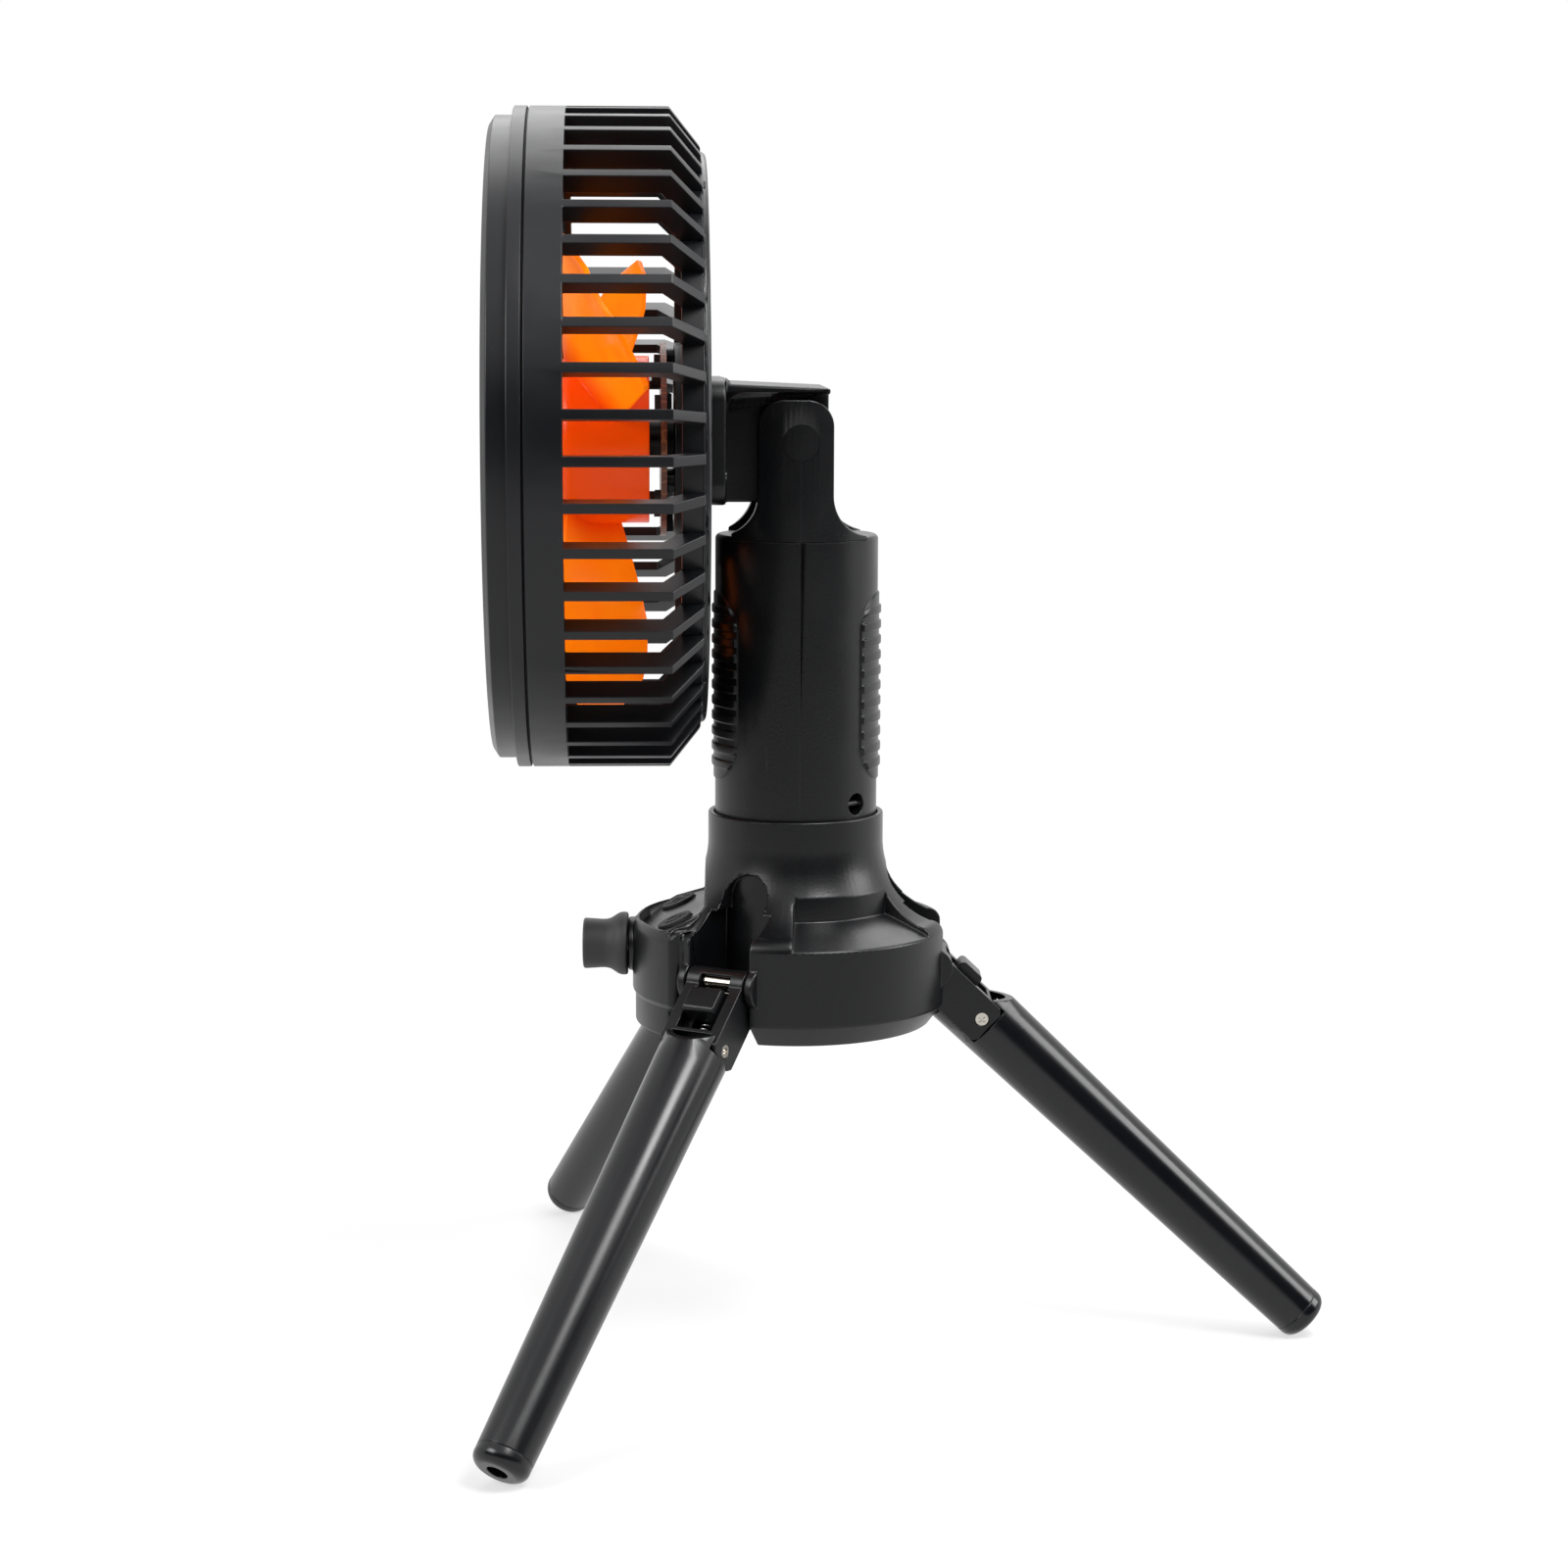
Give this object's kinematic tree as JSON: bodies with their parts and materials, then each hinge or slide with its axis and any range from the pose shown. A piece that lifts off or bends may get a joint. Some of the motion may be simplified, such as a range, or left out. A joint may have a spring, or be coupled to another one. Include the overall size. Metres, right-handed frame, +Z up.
{
  "type": "portable fan on a folding tripod",
  "caption": "Small fan with a slatted round cage on a tilting fork, a ribbed round handle and folding tripod legs.",
  "frame": {"origin": "centre of the hub's flat underside, on the hub's axis", "axes": "+Z up along the handle, the fan blows towards -Y, +X to the right leg's side"},
  "size_m": [0.2648, 0.2377, 0.3453],
  "materials": {
    "body": "satin moulded black ABS",
    "legs": "semi-gloss black",
    "grip": "matte soft-touch",
    "orange": "translucent orange",
    "steel": "plain",
    "nickel": "bright nickel",
    "dark_steel": "black oxide",
    "copper": "enamelled copper wire",
    "board": "brown laminate",
    "green_board": "green laminate",
    "chips": "moulded black",
    "cell": "shrink sleeve over the can",
    "cradle": "plain"
  },
  "bodies": {
    "base": {"hub": "body", "bottom_cover": "body", "hub_screws": "steel", "hinge_pins": "dark_steel", "hinge_sleeves": "dark_steel", "button_panel": "body", "switch_board": "green_board", "button_switches": "steel", "speed_dial": "steel", "handle_front": "body", "handle_rear": "body", "handle_screws": "steel", "tilt_pin": "steel", "tilt_caps": "body", "tilt_washers": "steel", "battery_cells": "cell", "battery_cradle": "cradle"},
    "head": {"rear_cage": "body", "front_guard": "body", "guard_cap": "body", "rear_cover": "body", "cover_screws": "steel", "neck_block": "body", "neck_screws": "steel", "motor_mount": "body", "motor_board": "board", "motor_parts": "chips", "stator_core": "steel", "stator_coils": "copper", "shaft_bearings": "steel"},
    "blades": {"impeller": "orange", "rotor_can": "steel", "rotor_magnet": "dark_steel", "motor_shaft": "steel"},
    "knob": {"speed_knob": "grip", "knob_spindle": "steel"},
    "power": {"power_button": "grip"},
    "light": {"light_button": "grip"},
    "right_leg": {"right_bracket": "legs", "right_tube": "legs", "right_screws": "nickel", "right_foot": "legs", "right_spring": "steel"},
    "right_slider": {"right_latch": "body"},
    "left_leg": {"left_bracket": "legs", "left_tube": "legs", "left_screws": "nickel", "left_foot": "legs", "left_spring": "steel"},
    "left_slider": {"left_latch": "body"},
    "rear_leg": {"rear_bracket": "legs", "rear_tube": "legs", "rear_screws": "nickel", "rear_foot": "legs", "rear_spring": "steel"},
    "rear_slider": {"rear_latch": "body"}
  },
  "joints": [
    {"name": "head_tilt", "type": "hinge", "parent": "base", "child": "head", "pos_m": [0, 0, 0.1628], "axis": [-1, 0, 0], "range_deg": [0, 90]},
    {"name": "blade_spin", "type": "hinge", "parent": "head", "child": "blades", "pos_m": [0, -0.05, 0.1628], "axis": [0, -1, 0], "continuous": true},
    {"name": "speed_turn", "type": "hinge", "parent": "base", "child": "knob", "pos_m": [-0.00253, -0.04994, 0.021], "axis": [-0.0506, -0.9987, 0], "range_deg": [0, 300]},
    {"name": "power_press", "type": "slide", "parent": "base", "child": "power", "axis": [0.0203, 0.3998, -0.9164], "range_m": [0, 0.0008], "stiffness_N_per_m": 400, "springref_m": -0.0006},
    {"name": "light_press", "type": "slide", "parent": "base", "child": "light", "axis": [0.0203, 0.3998, -0.9164], "range_m": [0, 0.0008], "stiffness_N_per_m": 400, "springref_m": -0.0006},
    {"name": "right_leg_fold", "type": "hinge", "parent": "base", "child": "right_leg", "pos_m": [0.03358, -0.02173, 0.0168], "axis": [-0.5432, -0.8396, 0], "range_deg": [0, 100]},
    {"name": "right_latch_slide", "type": "slide", "parent": "right_leg", "child": "right_slider", "axis": [0.6111, -0.3953, -0.6858], "range_m": [0, 0.0022], "stiffness_N_per_m": 250, "springref_m": -0.003, "deforming": ["right_spring"]},
    {"name": "left_leg_fold", "type": "hinge", "parent": "base", "child": "left_leg", "pos_m": [-0.03561, -0.01822, 0.0168], "axis": [-0.4555, 0.8902, 0], "range_deg": [0, 100]},
    {"name": "left_latch_slide", "type": "slide", "parent": "left_leg", "child": "left_slider", "axis": [-0.6479, -0.3315, -0.6858], "range_m": [0, 0.0022], "stiffness_N_per_m": 250, "springref_m": -0.003, "deforming": ["left_spring"]},
    {"name": "rear_leg_fold", "type": "hinge", "parent": "base", "child": "rear_leg", "pos_m": [0.00202, 0.03995, 0.0168], "axis": [0.9987, -0.0506, 0], "range_deg": [0, 133]},
    {"name": "rear_latch_slide", "type": "slide", "parent": "rear_leg", "child": "rear_slider", "axis": [0.0368, 0.7268, -0.6858], "range_m": [0, 0.0022], "stiffness_N_per_m": 250, "springref_m": -0.003, "deforming": ["rear_spring"]}
  ]
}
